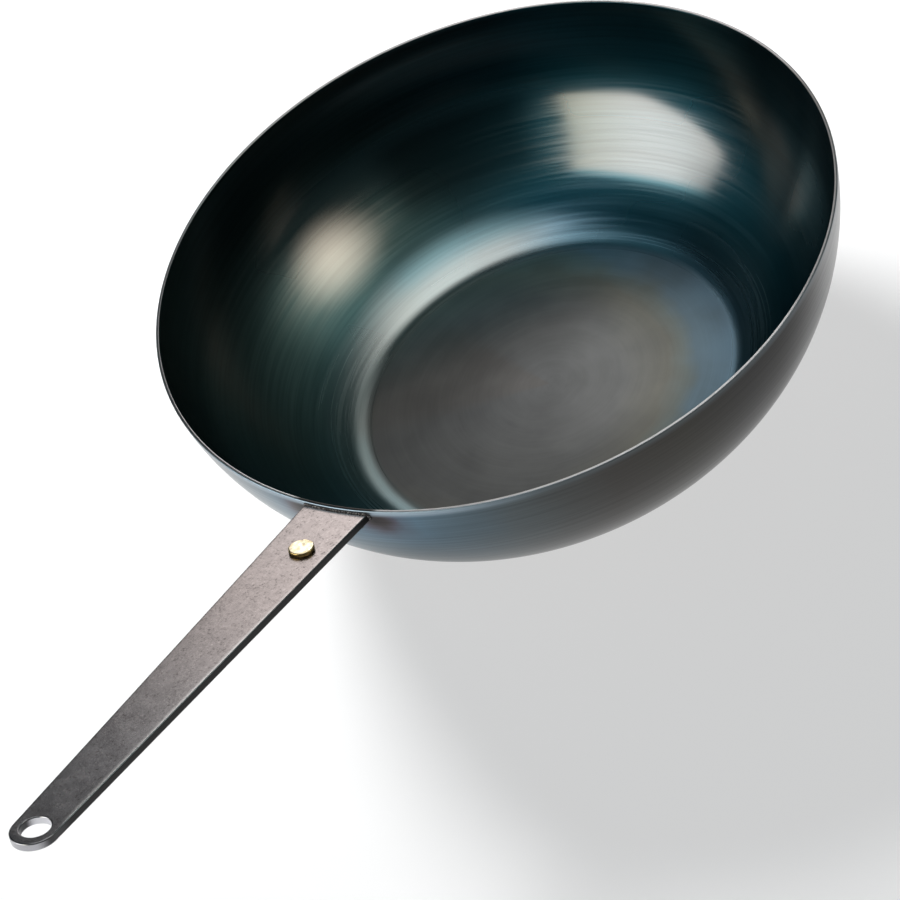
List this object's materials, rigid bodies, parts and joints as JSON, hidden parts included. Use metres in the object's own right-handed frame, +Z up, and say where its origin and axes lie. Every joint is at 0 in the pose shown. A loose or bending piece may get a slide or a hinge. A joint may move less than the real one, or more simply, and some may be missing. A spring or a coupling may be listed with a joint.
{
  "type": "deep iron frying pan",
  "caption": "Deep flat-based frying pan of blued sheet steel with curved walls, and a flat tapered iron bar handle, welded and riveted at the rim, with a hanging hole at its tip.",
  "frame": {"origin": "centre of the underside of the flat base", "axes": "+Z up out of the bowl, +X from the bowl's axis along the handle, +Y completing a right-handed frame"},
  "size_m": [0.5159, 0.2998, 0.1501],
  "materials": {
    "bowl_steel": "blued, with fine rings from spinning",
    "bar_iron": "mill scale, rubbed",
    "rivet_brass": "hammered and polished",
    "weld_steel": "rough weld, heat scaled"
  },
  "bodies": {
    "root": {"pan_bowl": "bowl_steel", "handle_bar": "bar_iron", "handle_lug": "bar_iron", "handle_rivet": "rivet_brass", "handle_weld": "weld_steel", "lug_weld": "weld_steel"}
  },
  "joints": []
}
